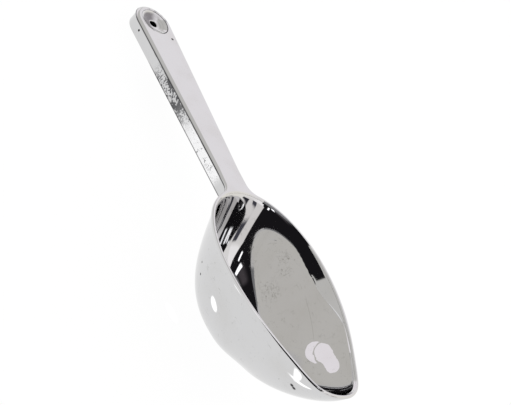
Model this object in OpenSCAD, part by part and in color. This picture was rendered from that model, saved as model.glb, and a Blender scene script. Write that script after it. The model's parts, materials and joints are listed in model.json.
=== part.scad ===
// Small ice scoop: a deep bowl under a flat lip that runs on into a hollow handle with a hang hole.
// Every piece is drawn level, with the lip's top face at z = 0, the back of the mouth at x = 0 and
// the tip towards +X, and is then set down on the bowl's foot and the end of the handle.

/* [Mouth] */
// Length of the mouth inside the lip
mouth_len = 79.1; // [66:0.1:96]
// Width of the mouth inside the lip, halfway along
mouth_w = 42.7; // [34:0.1:52]
// How much fuller the mouth is at the back than at the tip
mouth_skew = 0.24; // [0.1:0.01:0.35]
// How much both ends of the mouth are drawn in
mouth_draw = 0.045; // [0:0.005:0.1]
// How blunt the tip of the mouth is
tip_blunt = 0.47; // [0.2:0.01:0.6]

/* [Bowl] */
// Depth of the bowl outside, below the lip's top face
bowl_depth = 31.1; // [26:0.1:37]
// Distance of the deepest point from the back of the mouth
deepest_x = 37; // [30:0.5:44]
// Wall of the bowl at its edge
bowl_wall = 1.3; // [1.1:0.05:1.5]
// Thickness of the bowl at its deepest point
bowl_floor = 1.9; // [1.5:0.1:2.6]
// Power of the curve down the back wall, fuller as it grows
back_power = 4.5; // [3.2:0.1:5.5]
// Power of the curve down the side walls
side_power = 4.8; // [3.4:0.1:5.5]
// Power of the curve of the floor where it rises to the tip
front_power = 1.4; // [1.2:0.05:2]
// Power with which the back wall leaves the lip, more upright as it grows
back_lip_power = 0.84; // [0.7:0.02:1.2]
// Power with which the side walls leave the lip
side_lip_power = 0.5; // [0.5:0.02:1]
// Power with which the floor meets the lip at the tip
front_lip_power = 1.44; // [1:0.02:1.6]
// Depth of the flat that is pressed into the underside to stand on
foot_press = 0.8; // [0.4:0.1:1.2]

/* [Lip] */
// Width of the lip's top face
lip_w = 1.6; // [1.5:0.05:2.2]
// Height of the lip, and thickness of the handle's top plate
lip_h = 0.9; // [0.8:0.05:1.4]
// Height of the tongue on the bowl's edge that stands in the lip
tongue_h = 0.5; // [0.3:0.05:0.6]
// Thickness of that tongue
tongue_t = 0.6; // [0.4:0.05:0.8]

/* [Handle] */
// Length of the handle from its end to the back of the mouth
handle_len = 83.2; // [70:0.1:100]
// Width of the handle at its end
end_w = 15.4; // [15.4:0.1:19]
// Width of the handle at the neck
neck_w = 10.2; // [9:0.1:13]
// Thickness of the handle, plate and tray together
handle_t = 5.6; // [4.8:0.1:7]
// Length of the rounded end
end_round = 7.6; // [6:0.1:9]
// Radius of the sweep between the handle's edge and the lip
neck_sweep = 5; // [2:0.1:5]
// How far the lip stands out over the tray's walls
tray_inset = 0.3; // [0.1:0.05:0.5]
// Side wall of the tray
tray_wall = 1.2; // [0.9:0.05:1.4]
// Floor of the tray
tray_floor = 1.2; // [0.9:0.05:1.6]
// Thickness of the pad under the plate that stands inside the tray
pad_t = 0.6; // [0.4:0.05:0.8]
// Length of the solid block that closes the tray at the neck
neck_block = 4; // [3:0.1:8]

/* [Hang hole] */
// Distance of the hang hole from the end of the handle
hole_from_end = 7.6; // [7.6:0.1:12]
// Diameter of the eyelet's head
eyelet_d = 10.9; // [8:0.1:11.2]
// Land between the edge of the eyelet's head and its dish
eyelet_land = 0.25; // [0.15:0.05:0.6]
// Depth of the dish
dish_depth = 1.2; // [1:0.1:2]
// Diameter of the hang hole
hang_d = 2.8; // [2:0.1:3.6]
// How far the eyelet's collar stands out under the pad
collar_w = 0.5; // [0.3:0.05:0.55]
// Diameter of the eyelet's stem in the tray's floor
stem_d = 5.2; // [4.6:0.1:6]

/* [Pins] */
// Diameter of both pins
pin_d = 0.9; // [0.6:0.1:1.2]
// Distance of the side pin from the hang hole, along the handle
side_pin_x = 3; // [1.5:0.1:3]
// Depth of the side pin below the lip's top face
side_pin_z = 2.6; // [2.6:0.1:3.4]
// How far the side pin reaches into the eyelet's collar
side_pin_grip = 1.2; // [0.6:0.1:1.6]
// Distance of the top pin from the hang hole, along the handle
top_pin_x = 7.3; // [7.2:0.1:20]
// Distance of the top pin from the handle's middle
top_pin_y = 4.4; // [2:0.1:4.4]
// How far the top pin reaches into its post
top_pin_grip = 1.9; // [1:0.1:2.1]
// Wall of the post around the top pin
post_wall = 0.85; // [0.6:0.05:1]

/* [Fits] */
// Clearance of a piece that slides into another
fit_gap = 0.06; // [0.03:0.01:0.1]
// Clearance of a pressed pin
press_gap = 0.02; // [0.01:0.01:0.04]

/* [Hidden] */

// Points round the mouth, rings down the bowl's two skins, and points round the handle's end and sweep
mouth_points = 96;
turn_step = 360 / mouth_points;
skin_rings = 13;
end_points = 14;
sweep_points = 10;
// Power that keeps the blunt tip's effect close to the tip
tip_power = 16;
// Power of the curve at the deepest point, the same all round
bottom_power = 2;
// How often a span is halved to find the tilt that the scoop lies at, or the end of the neck's sweep
halving_steps = 40;
// Extra length that carries a cut clear of a face
past = 1;
$fn = 96;

plate_z = -lip_h;
pad_z = plate_z - pad_t;
floor_z = -handle_t + tray_floor;
tongue_z = plate_z + tongue_h;
hole_x = -handle_len + hole_from_end;
eyelet_r = eyelet_d / 2;
collar_r = eyelet_r + collar_w;
stem_r = stem_d / 2;
pin_r = pin_d / 2;
post_r = pin_r + post_wall;
dish_r = eyelet_r - eyelet_land;
dish_ball_r = (dish_r * dish_r + dish_depth * dish_depth) / (2 * dish_depth);
cavity_inset = tray_inset + tray_wall;

// The mouth's outline, as an egg: turn 0 is the back, 180 the tip and 90 the right side
function egg_fullness(c) =
    1 + mouth_skew * c - mouth_draw * c * c + tip_blunt * pow((1 - c) / 2, tip_power);
function egg_point(turn) =
    [mouth_len / 2 * (1 - cos(turn)), mouth_w / 2 * sin(turn) * egg_fullness(cos(turn))];
function egg_normal(turn) =
    let (step = 0.05, along = egg_point(turn + step) - egg_point(turn - step))
    [-along[1], along[0]] / norm(along);
function egg_offset(turn, out) = egg_point(turn) + out * egg_normal(turn);
function mouth_ring(out) =
    [for (i = [0 : mouth_points - 1]) egg_offset(turn_step * i, out)];
tip_x = mouth_len + lip_w;

// Half the handle's width, and how fast it narrows towards the neck
handle_slope = (end_w - neck_w) / 2 / handle_len;
function handle_half(x) = neck_w / 2 - handle_slope * x;

// One side of the handle, inset all round, from the middle of its end to where the sweep starts
end_x = -handle_len + end_round;
function handle_side(inset) =
    [for (i = [0 : end_points])
        let (turn = 90 * i / end_points)
        [end_x - (end_round - inset) * cos(turn), (handle_half(end_x) - inset) * sin(turn)]];

// The sweep's centre lies its radius outside the lip and outside the handle's straight edge
function sweep_at(turn) = egg_offset(turn, lip_w + neck_sweep);
function sweep_gap(turn) =
    let (p = sweep_at(turn)) (p[1] - handle_half(p[0])) * cos(atan(handle_slope)) - neck_sweep;
function find_turn(low, high, tries) =
    let (middle = (low + high) / 2)
    tries == 0 ? middle
    : sweep_gap(middle) < 0 ? find_turn(middle, high, tries - 1)
    : find_turn(low, middle, tries - 1);
// It reaches the lip between the back of the mouth and its side
sweep_turn = find_turn(0, 90, halving_steps);
sweep_centre = sweep_at(sweep_turn);
sweep_start = -90 - atan(handle_slope);
sweep_stop = atan2(-egg_normal(sweep_turn)[1], -egg_normal(sweep_turn)[0]);

// One side of the sweep, and one side of the lip from there to the tip, inset from the frame's edge
function sweep_side(inset) =
    [for (i = [0 : sweep_points])
        let (angle = sweep_start + (sweep_stop - sweep_start) * i / sweep_points)
        sweep_centre + (neck_sweep + inset) * [cos(angle), sin(angle)]];
function lip_side(inset) =
    [for (i = [0 : mouth_points / 2])
        if (turn_step * i > sweep_turn + turn_step / 2) egg_offset(turn_step * i, lip_w - inset)];

function mirrored(side) = concat(side, [for (i = [len(side) - 1 : -1 : 0]) [side[i][0], -side[i][1]]]);

// A value between those of the back, the sides and the front, for the cosine of a heading
function heading_value(back, side, front, c) =
    side - (back - front) / 2 * c + ((back + front) / 2 - side) * c * c;
// Depth below the bowl's edge at a share of the way from the deepest point, which is round
function curve_power(share, c) =
    bottom_power + (heading_value(back_power, side_power, front_power, c) - bottom_power) * sqrt(share);
function skin_drop(share, c) =
    pow(1 - pow(share, curve_power(share, c)),
        1 / heading_value(back_lip_power, side_lip_power, front_lip_power, c));
function skin_point(turn, out, share, edge_z, bottom_z) =
    let (edge = egg_offset(turn, out), run = [edge[0] - deepest_x, edge[1]], c = run[0] / norm(run))
    [deepest_x + share * run[0], share * run[1],
        edge_z + (bottom_z - edge_z) * skin_drop(share, c)];
// Shares that step evenly round the curve from the deepest point to the edge
function skin_share(ring) = sin(90 * ring / skin_rings);
function skin_ring(ring, out, edge_z, bottom_z) =
    [for (i = [0 : mouth_points - 1])
        skin_point(turn_step * i, out, skin_share(ring), edge_z, bottom_z)];

// The keel's outline, and the tilt at which the scoop lies on its foot and the end of its handle
keel = [for (turn = [0, 180], ring = [1 : skin_rings])
    let (p = skin_point(turn, bowl_wall, skin_share(ring), plate_z, -bowl_depth)) [p[0], p[2]]];
heel = [-handle_len + tray_inset, -handle_t];
function height_at(tilt, p) = (p[0] - heel[0]) * sin(tilt) + (p[1] - heel[1]) * cos(tilt);
function keel_dip(tilt) = min([for (p = keel) height_at(tilt, p)]);
function find_tilt(low, high, tries) =
    let (middle = (low + high) / 2)
    tries == 0 ? middle
    : keel_dip(middle) < -foot_press ? find_tilt(middle, high, tries - 1)
    : find_tilt(low, middle, tries - 1);
rest_tilt = find_tilt(0, 45, halving_steps);
function floor_at(x) = heel[1] - (x - heel[0]) * tan(rest_tilt);
rest_z = -(heel[0] * sin(rest_tilt) + heel[1] * cos(rest_tilt));
rest_x = (handle_len * cos(rest_tilt) - tip_x * cos(rest_tilt) - lip_h * sin(rest_tilt)) / 2;

module set_down() {
    translate([rest_x, 0, rest_z])
        rotate([0, -rest_tilt, 0])
            children();
}

// A closed skin through rings of equal length, from a first to a last point
module ringed_solid(first, rings, last) {
    n = len(rings[0]);
    count = len(rings);
    points = concat([first], [for (r = rings) for (p = r) p], [last]);
    function at(r, i) = 1 + r * n + i % n;
    faces = concat(
        [for (i = [0 : n - 1]) [0, at(0, i), at(0, i + 1)]],
        [for (r = [0 : count - 2], i = [0 : n - 1]) [at(r, i), at(r + 1, i), at(r + 1, i + 1)]],
        [for (r = [0 : count - 2], i = [0 : n - 1]) [at(r, i), at(r + 1, i + 1), at(r, i + 1)]],
        [for (i = [0 : n - 1]) [at(count - 1, i + 1), at(count - 1, i), count * n + 1]]);
    polyhedron(points, faces);
}

function raised(ring, z) = [for (p = ring) [p[0], p[1], z]];
// The outer skin, pressed flat where the bowl stands
function pressed(ring) = [for (p = ring) [p[0], p[1], max(p[2], floor_at(p[0]))]];
function outer_ring(ring, out) = pressed(skin_ring(ring, out, plate_z, -bowl_depth));
outer_bottom = [deepest_x, 0, max(-bowl_depth, floor_at(deepest_x))];
inner_bottom = [deepest_x, 0, -bowl_depth + bowl_floor];

// The deep bowl: an inner and an outer skin, with a tongue along its edge
module bowl_shell() {
    tongue_top = tongue_z - fit_gap;
    rings = concat(
        [for (r = [1 : skin_rings]) skin_ring(r, 0, tongue_top, inner_bottom[2])],
        [raised(mouth_ring(tongue_t), tongue_top), raised(mouth_ring(tongue_t), plate_z)],
        [for (r = [skin_rings : -1 : 1]) outer_ring(r, bowl_wall)]);
    color("silver")
        ringed_solid(inner_bottom, rings, outer_bottom);
}

// The space that the bowl takes up, with clearance, for cutting what butts against it
module bowl_space() {
    rings = concat(
        [raised(mouth_ring(bowl_wall + fit_gap), past)],
        [for (r = [skin_rings : -1 : 1]) outer_ring(r, bowl_wall + fit_gap)]);
    ringed_solid([deepest_x, 0, past], rings, outer_bottom);
}

// Upright cylinder between two heights, at a place along and across the handle
module post(x, y, low, high, r) {
    translate([x, y, low])
        cylinder(h = high - low, r = r);
}

// The mouth's lip and the handle's top plate in one, with the pad that stands inside the tray
module rim_frame() {
    color("gainsboro")
        difference() {
            union() {
                translate([0, 0, plate_z])
                    linear_extrude(lip_h)
                        polygon(mirrored(concat(handle_side(0), sweep_side(0), lip_side(0))));
                translate([0, 0, pad_z])
                    linear_extrude(pad_t + lip_h / 2)
                        polygon(mirrored(concat(handle_side(cavity_inset + fit_gap),
                            [[-neck_block - fit_gap, handle_half(-neck_block) - cavity_inset - fit_gap]])));
            }
            translate([0, 0, plate_z - past])
                linear_extrude(lip_h + 2 * past)
                    polygon(mouth_ring(0));
            translate([0, 0, plate_z - past])
                linear_extrude(tongue_h + past)
                    polygon(mouth_ring(tongue_t + fit_gap));
            post(hole_x, 0, pad_z - past, past, eyelet_r + fit_gap);
            post(hole_x + top_pin_x, top_pin_y, pad_z - past, past, pin_r + press_gap);
        }
}

// The hollow underside of the handle, closed at the neck where it butts against the bowl
module handle_tray() {
    color("lightgray")
        difference() {
            translate([0, 0, -handle_t])
                linear_extrude(handle_t - lip_h)
                    polygon(mirrored(concat(handle_side(tray_inset), sweep_side(tray_inset))));
            difference() {
                translate([0, 0, floor_z])
                    linear_extrude(handle_t)
                        polygon(mirrored(concat(handle_side(cavity_inset),
                            [[-neck_block, handle_half(-neck_block) - cavity_inset]])));
                post(hole_x + top_pin_x, top_pin_y, floor_z - past, pad_z, post_r);
            }
            bowl_space();
            post(hole_x, 0, -handle_t - past, floor_z + past, stem_r + fit_gap);
            post(hole_x + top_pin_x, top_pin_y, pad_z - top_pin_grip, pad_z + past, pin_r + press_gap);
            side_bore(pin_r + press_gap, past);
        }
}

// The side pin's cylinder, from the tray's outer face into the eyelet's collar
side_pin_in_y = sqrt(pow(collar_r, 2) - pow(side_pin_x, 2)) - side_pin_grip;
side_pin_out_y = handle_half(hole_x + side_pin_x) - tray_inset;
module side_bore(r, extra) {
    translate([hole_x + side_pin_x, -side_pin_in_y, -side_pin_z])
        rotate([90, 0, 0])
            cylinder(h = side_pin_out_y - side_pin_in_y + extra, r = r);
}

// The dished eyelet that lines the hang hole, held between the pad and the tray's floor
module hang_eyelet() {
    color("whitesmoke")
        difference() {
            union() {
                post(hole_x, 0, pad_z - past / 2, 0, eyelet_r);
                post(hole_x, 0, floor_z, pad_z, collar_r);
                post(hole_x, 0, -handle_t, floor_z + past / 2, stem_r);
            }
            translate([hole_x, 0, dish_ball_r - dish_depth])
                sphere(r = dish_ball_r);
            post(hole_x, 0, -handle_t - past, past, hang_d / 2);
            side_bore(pin_r + press_gap, past);
        }
}

// The pin through the tray's side wall into the eyelet's collar
module side_pin() {
    color("dimgray")
        side_bore(pin_r, 0);
}

// The pin through the plate and its pad into the tray's post
module top_pin() {
    color("dimgray")
        post(hole_x + top_pin_x, top_pin_y, pad_z - top_pin_grip, 0, pin_r);
}

set_down() bowl_shell();
set_down() rim_frame();
set_down() handle_tray();
set_down() hang_eyelet();
set_down() side_pin();
set_down() top_pin();
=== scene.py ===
"""Looks of a small mirror-bright ice scoop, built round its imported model.

The bowl is a Geometry Nodes tree that follows the same rule as its solid. The frame, the tray, the
eyelet and the pins are closed shells with a true normal at each corner, because a mirror finish
shows every facet. Sizes are in metres, in the level frame: lip's top face at z = 0, back of the
mouth at x = 0, tip towards +X. finish_piece() then turns a mesh to the way the scoop lies.
"""

import json
import math

import bmesh
import bpy
import numpy as np
from mathutils import Matrix, Vector
from mathutils.geometry import delaunay_2d_cdt


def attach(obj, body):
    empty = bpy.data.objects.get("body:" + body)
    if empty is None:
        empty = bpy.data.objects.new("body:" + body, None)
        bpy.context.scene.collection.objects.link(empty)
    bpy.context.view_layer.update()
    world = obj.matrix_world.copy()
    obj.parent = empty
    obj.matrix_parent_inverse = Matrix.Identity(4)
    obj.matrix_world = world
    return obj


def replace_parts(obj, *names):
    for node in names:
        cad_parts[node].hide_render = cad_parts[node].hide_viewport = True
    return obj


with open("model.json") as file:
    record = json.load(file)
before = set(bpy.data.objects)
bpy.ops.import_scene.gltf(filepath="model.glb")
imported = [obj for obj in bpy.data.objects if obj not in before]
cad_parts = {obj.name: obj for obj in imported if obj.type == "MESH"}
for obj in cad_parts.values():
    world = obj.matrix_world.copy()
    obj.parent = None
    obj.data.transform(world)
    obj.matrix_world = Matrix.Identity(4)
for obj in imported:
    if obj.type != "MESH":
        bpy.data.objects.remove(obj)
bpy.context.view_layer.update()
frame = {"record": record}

MM = 0.001

# Mouth: an egg, with turn 0 at the back and half a turn at the tip
MOUTH_LEN, MOUTH_W = 79.1 * MM, 42.7 * MM
MOUTH_SKEW, MOUTH_DRAW, TIP_BLUNT, TIP_REACH = 0.24, 0.045, 0.47, 16

# Bowl: powers of the curves down its walls and of how they leave the lip. Just under the lip the inner
# wall has a least fall, over a short reach
BOWL_DEPTH, DEEPEST_X = 31.1 * MM, 37 * MM
BOWL_WALL, BOWL_FLOOR = 1.3 * MM, 1.9 * MM
BACK_POWER, SIDE_POWER, FRONT_POWER, BOTTOM_POWER = 4.5, 4.8, 1.4, 2.0
BACK_LIP_POWER, SIDE_LIP_POWER, FRONT_LIP_POWER = 0.84, 0.5, 1.44
INNER_FALL, INNER_REACH = 1.7, 1.8 * MM
MOUTH_STEPS, SKIN_STEPS = 432, 88

# Lip, which falls off to both sides of its crest, more at the tip, and the tongue of the bowl's edge in it
LIP_W, LIP_H = 1.6 * MM, 0.9 * MM
LIP_FALL, LIP_FALL_DROP, TIP_FALL, TIP_FALL_DROP = 0.68 * MM, 0.42 * MM, 0.55 * MM, 0.75 * MM
TIP_START, TIP_SPAN = 0.62 * MOUTH_LEN, 0.25 * MOUTH_LEN
LIP_BEVEL, BEVEL_ROUND = 0.36 * MM, 0.1 * MM
PLATE_ROUND, PLATE_TURN, LIP_TURN = 1.5 * MM, math.radians(66), math.radians(48)
TONGUE_H, TONGUE_T = 0.5 * MM, 0.6 * MM

# Handle
HANDLE_LEN, END_W, NECK_W, HANDLE_T = 83.2 * MM, 15.4 * MM, 10.2 * MM, 5.6 * MM
END_ROUND, NECK_SWEEP = 7.6 * MM, 5 * MM
TRAY_INSET, TRAY_WALL, TRAY_FLOOR, TRAY_ROUND = 0.3 * MM, 1.2 * MM, 1.2 * MM, 0.6 * MM
PAD_T, NECK_BLOCK = 0.6 * MM, 4 * MM
END_STEPS, SIDE_STEPS, SWEEP_STEPS, SEAT_STEPS = 40, 24, 20, 24
ROUND_STEPS, WALL_ROWS = 8, 8

# Hang hole
HOLE_X = -HANDLE_LEN + 7.6 * MM
EYELET_R, EYELET_LAND, EYELET_ROUND = 5.45 * MM, 0.25 * MM, 0.12 * MM
DISH_DEPTH, HANG_R, HANG_ROUND = 1.2 * MM, 1.4 * MM, 0.3 * MM
COLLAR_R, STEM_R = 5.95 * MM, 2.6 * MM
LATHE_STEPS, DISH_STEPS = 96, 24

# Pins
PIN_R, PIN_DOME, PIN_STEPS = 0.45 * MM, 0.12 * MM, 32
SIDE_PIN_X, SIDE_PIN_Z, SIDE_PIN_GRIP = 3.0 * MM, 2.6 * MM, 1.2 * MM
TOP_PIN_X, TOP_PIN_Y, TOP_PIN_GRIP, POST_WALL = 7.3 * MM, 4.4 * MM, 1.9 * MM, 0.85 * MM

# Clearances, and the distance within which points are one
FIT_GAP, PRESS_GAP = 0.06 * MM, 0.02 * MM
WELD = 0.5e-6

PLATE_Z = -LIP_H
PAD_Z = PLATE_Z - PAD_T
TRAY_FLOOR_Z = -HANDLE_T + TRAY_FLOOR
TONGUE_TOP = PLATE_Z + TONGUE_H - FIT_GAP
END_X = -HANDLE_LEN + END_ROUND
CAVITY_INSET = TRAY_INSET + TRAY_WALL
HANDLE_SLOPE = (END_W - NECK_W) / 2 / HANDLE_LEN
HALVINGS = 40
DISH_R = EYELET_R - EYELET_LAND
DISH_BALL = (DISH_R ** 2 + DISH_DEPTH ** 2) / (2 * DISH_DEPTH)

# The way the scoop lies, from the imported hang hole: its axis is the level frame's up
hang_hole = next(m for m in frame["record"]["mounts"] if m["name"] == "hang_hole")
REST_TILT = math.atan2(-hang_hole["axis"][0], hang_hole["axis"][2])
HOLE_TOP = DISH_BALL - DISH_DEPTH - math.sqrt(DISH_BALL ** 2 - HANG_R ** 2)
HOLE_MIDDLE = Vector((HOLE_X, 0, (HOLE_TOP - HANDLE_T) / 2))
LEVEL_TO_REST = (Matrix.Translation(hang_hole["pos_m"]) @ Matrix.Rotation(-REST_TILT, 4, "Y")
                 @ Matrix.Translation(-HOLE_MIDDLE))
HEEL = (-HANDLE_LEN + TRAY_INSET, -HANDLE_T)


# Outlines, in the level frame

def egg(turn):
    """Points of the mouth's outline and its outward normals, for an array of turns."""
    s, c = np.sin(turn), np.cos(turn)
    tip = (1 - c) / 2
    full = 1 + MOUTH_SKEW * c - MOUTH_DRAW * c * c + TIP_BLUNT * tip ** TIP_REACH
    slope = MOUTH_SKEW - 2 * MOUTH_DRAW * c - TIP_BLUNT * TIP_REACH / 2 * tip ** (TIP_REACH - 1)
    points = np.stack([MOUTH_LEN / 2 * (1 - c), MOUTH_W / 2 * s * full], -1)
    along = np.stack([MOUTH_LEN / 2 * s, MOUTH_W / 2 * (c * full - s * s * slope)], -1)
    normals = np.stack([-along[:, 1], along[:, 0]], -1)
    return points, normals / np.linalg.norm(normals, axis=1)[:, None]


def mouth_loop(out):
    points, normals = egg(np.linspace(0, 2 * math.pi, MOUTH_STEPS, endpoint=False))
    return points + out * normals


def handle_half(x):
    return NECK_W / 2 - HANDLE_SLOPE * x


def handle_side(inset):
    """One side of the handle, from the middle of its end to where its straight edge starts."""
    turn = np.linspace(0, math.pi / 2, END_STEPS + 1)
    return np.stack([END_X - (END_ROUND - inset) * np.cos(turn),
                     (handle_half(END_X) - inset) * np.sin(turn)], -1)


def lip_edge(turn):
    points, normals = egg(turn)
    return points + LIP_W * normals


def sweep(contour, inset):
    """The arc between the handle's straight edge and a contour round the mouth, as the turn at which
    it reaches the contour and its points."""
    radius = NECK_SWEEP + inset

    def centre(turn):
        before, here, after = contour(np.array([turn - 1e-3, turn, turn + 1e-3]))
        along = (after - before) / np.linalg.norm(after - before)
        out = np.array([-along[1], along[0]])
        return here + radius * out, out

    low, high = math.radians(2), math.radians(80)
    for _ in range(HALVINGS):
        turn = (low + high) / 2
        (x, y), _ = centre(turn)
        if (y - handle_half(x)) * math.cos(math.atan(HANDLE_SLOPE)) < NECK_SWEEP:
            low = turn
        else:
            high = turn
    middle, out = centre(turn)
    start, stop = -math.pi / 2 - math.atan(HANDLE_SLOPE), math.atan2(-out[1], -out[0])
    angle = np.linspace(start, stop, SWEEP_STEPS + 1)
    return turn, middle + radius * np.stack([np.cos(angle), np.sin(angle)], -1)


def straight(a, b):
    share = np.linspace(0, 1, SIDE_STEPS + 2)[1:-1, None]
    return a + (b - a) * share


def cavity_loop(gap):
    """The outline of the hollow in the handle, drawn in by a gap."""
    side = np.vstack([handle_side(CAVITY_INSET + gap),
                      [[-NECK_BLOCK - gap, handle_half(-NECK_BLOCK) - CAVITY_INSET - gap]]])
    return np.vstack([side, side[1:][::-1] * [1, -1]])


def frame_loop():
    """The outline of the lip and the handle's plate, once round."""
    end = handle_side(0)
    turn, bend = sweep(lip_edge, 0)
    lip = lip_edge(np.linspace(turn, math.pi, MOUTH_STEPS // 2))
    side = np.vstack([end, straight(end[-1], bend[0]), bend, lip[1:-1]])
    tip = lip[-1:] * [1, 0]
    other = side[1:][::-1] * [1, -1]
    return np.vstack([side, tip, other])


def inward(loop):
    """Unit vectors that point into a loop, at its points."""
    along = np.roll(loop, -1, 0) - np.roll(loop, 1, 0)
    sign = np.sign(np.sum(loop[:, 0] * np.roll(loop[:, 1], -1) - loop[:, 1] * np.roll(loop[:, 0], -1)))
    normals = sign * np.stack([-along[:, 1], along[:, 0]], -1)
    return normals / np.linalg.norm(normals, axis=1)[:, None]


def circle(x, y, r, steps=LATHE_STEPS):
    turn = np.linspace(0, 2 * math.pi, steps, endpoint=False)
    return np.stack([x + r * np.cos(turn), y + r * np.sin(turn)], -1)


def top_pin_circle(r):
    return circle(HOLE_X + TOP_PIN_X, TOP_PIN_Y, r, PIN_STEPS)


# Shells with a normal at each corner

class Shell:
    """Collects faces with a normal at each corner, and shares the points where patches meet."""

    def __init__(self):
        self.points, self.index, self.faces, self.normals = [], {}, [], []

    def point(self, p):
        key = tuple(int(round(c / WELD)) for c in p)
        if key not in self.index:
            self.index[key] = len(self.points)
            self.points.append(tuple(p))
        return self.index[key]

    def face(self, corners, normals):
        """A face that looks the way its normals do, without corners that fall together."""
        kept = []
        for p, n in zip(corners, normals):
            i = self.point(p)
            if i not in [k for k, _ in kept]:
                kept.append((i, Vector(n)))
        if len(kept) < 3:
            return
        a, b, c = (Vector(self.points[kept[k][0]]) for k in (0, 1, 2))
        flat = (b - a).cross(c - a)
        if len(kept) == 4:
            flat += (c - a).cross(Vector(self.points[kept[3][0]]) - a)
        if flat.dot(sum((n for _, n in kept), Vector())) < 0:
            kept.reverse()
        self.faces.append([i for i, _ in kept])
        self.normals.extend(n.normalized() for _, n in kept)

    def band(self, rings, normals, closed=True):
        """Faces between neighbouring rings of points, with normals of the same layout."""
        count = len(rings[0])
        for r in range(len(rings) - 1):
            for i in range(count if closed else count - 1):
                j = (i + 1) % count
                self.face([rings[r][i], rings[r][j], rings[r + 1][j], rings[r + 1][i]],
                          [normals[r][i], normals[r][j], normals[r + 1][j], normals[r + 1][i]])

    def sheet(self, loops, z, up):
        """A level face inside the first loop, with the other loops as holes."""
        points, edges, owner = np.vstack(loops), [], []
        for k, loop in enumerate(loops):
            edges += [(len(owner) + i, len(owner) + (i + 1) % len(loop)) for i in range(len(loop))]
            owner += [k] * len(loop)
        flat = [Vector(p / MM) for p in points]
        _, _, faces, sources, _, _ = delaunay_2d_cdt(flat, edges, [], 2, 1e-6)
        for corners in ([sources[i][0] for i in face] for face in faces):
            if len({owner[i] for i in corners}) > 1 or owner[corners[0]] == 0:
                self.face([(*points[i], z) for i in corners], [(0, 0, up)] * len(corners))

    def mesh(self, name):
        mesh = bpy.data.meshes.new(name)
        mesh.from_pydata(self.points, [], self.faces)
        mesh.shade_smooth()
        mesh.normals_split_custom_set(self.normals)
        return mesh


def lift(loop, z):
    return np.column_stack([loop, np.full(len(loop), z)])


def wall(shell, loop, rows):
    """A wall round a loop from rows of (shift along the inward normal, height, slope normal).

    The slope normal is (inward part, upward part) of the surface's normal at that row. Each number is
    the same all round or given for each point of the loop."""
    into, all_round = inward(loop), np.ones((len(loop), 1))
    rings, normals = [], []
    for shift, z, (n_in, n_up) in rows:
        shift, z, n_in, n_up = (np.reshape(term, (-1, 1)) * all_round for term in (shift, z, n_in, n_up))
        rings.append(np.hstack([loop + shift * into, z]))
        normals.append(np.hstack([into * n_in, n_up]))
    shell.band(rings, normals)


def edge_rows(run, drop, stop):
    """Rows of a rounded outer edge, from the flat top down to where it has turned by an angle. The
    run, the drop and the angle are given for each point of the loop."""
    rows = []
    for k in range(ROUND_STEPS + 1):
        a = stop * k / ROUND_STEPS
        side, up = np.sin(a) / run, np.cos(a) / drop
        length = np.hypot(side, up)
        rows.append((run * (np.sin(stop) - np.sin(a)), -drop * (1 - np.cos(a)),
                     (-side / length, up / length)))
    return rows


def finish_piece(mesh, name, material):
    mesh.transform(LEVEL_TO_REST)
    piece = bpy.data.objects.new(name, mesh)
    bpy.context.scene.collection.objects.link(piece)
    mesh.materials.clear()
    mesh.materials.append(material)
    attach(piece, "root")
    return piece


# The bowl, as a Geometry Nodes tree

class Sum:
    """A number in a node tree: arithmetic on it adds Math nodes."""

    def __init__(self, tree, socket):
        self.tree, self.socket = tree, socket

    def math(self, operation, *terms):
        node = self.tree.nodes.new("ShaderNodeMath")
        node.operation = operation
        for slot, term in zip(node.inputs, terms):
            if isinstance(term, Sum):
                self.tree.links.new(term.socket, slot)
            else:
                slot.default_value = term
        return Sum(self.tree, node.outputs[0])

    def __add__(self, other): return self.math("ADD", self, other)
    def __radd__(self, other): return self.math("ADD", other, self)
    def __sub__(self, other): return self.math("SUBTRACT", self, other)
    def __rsub__(self, other): return self.math("SUBTRACT", other, self)
    def __mul__(self, other): return self.math("MULTIPLY", self, other)
    def __rmul__(self, other): return self.math("MULTIPLY", other, self)
    def __truediv__(self, other): return self.math("DIVIDE", self, other)
    def __rtruediv__(self, other): return self.math("DIVIDE", other, self)
    def __pow__(self, other): return self.math("POWER", self, other)

    def sin(self): return self.math("SINE", self)
    def cos(self): return self.math("COSINE", self)
    def root(self): return self.math("SQRT", self)
    def at_least(self, other): return self.math("MAXIMUM", self, other)
    def at_most(self, other): return self.math("MINIMUM", self, other)


def new_tree(name, inputs, outputs, kind="GeometryNodeTree"):
    """A node tree, its inputs by name as sums, and its output node."""
    tree = bpy.data.node_groups.new(name, kind)
    for title, kind in inputs:
        tree.interface.new_socket(title, in_out="INPUT", socket_type="NodeSocket" + kind)
    for title, kind in outputs:
        tree.interface.new_socket(title, in_out="OUTPUT", socket_type="NodeSocket" + kind)
    entry, result = tree.nodes.new("NodeGroupInput"), tree.nodes.new("NodeGroupOutput")
    return tree, {title: Sum(tree, entry.outputs[title]) for title, _ in inputs}, result


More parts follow.
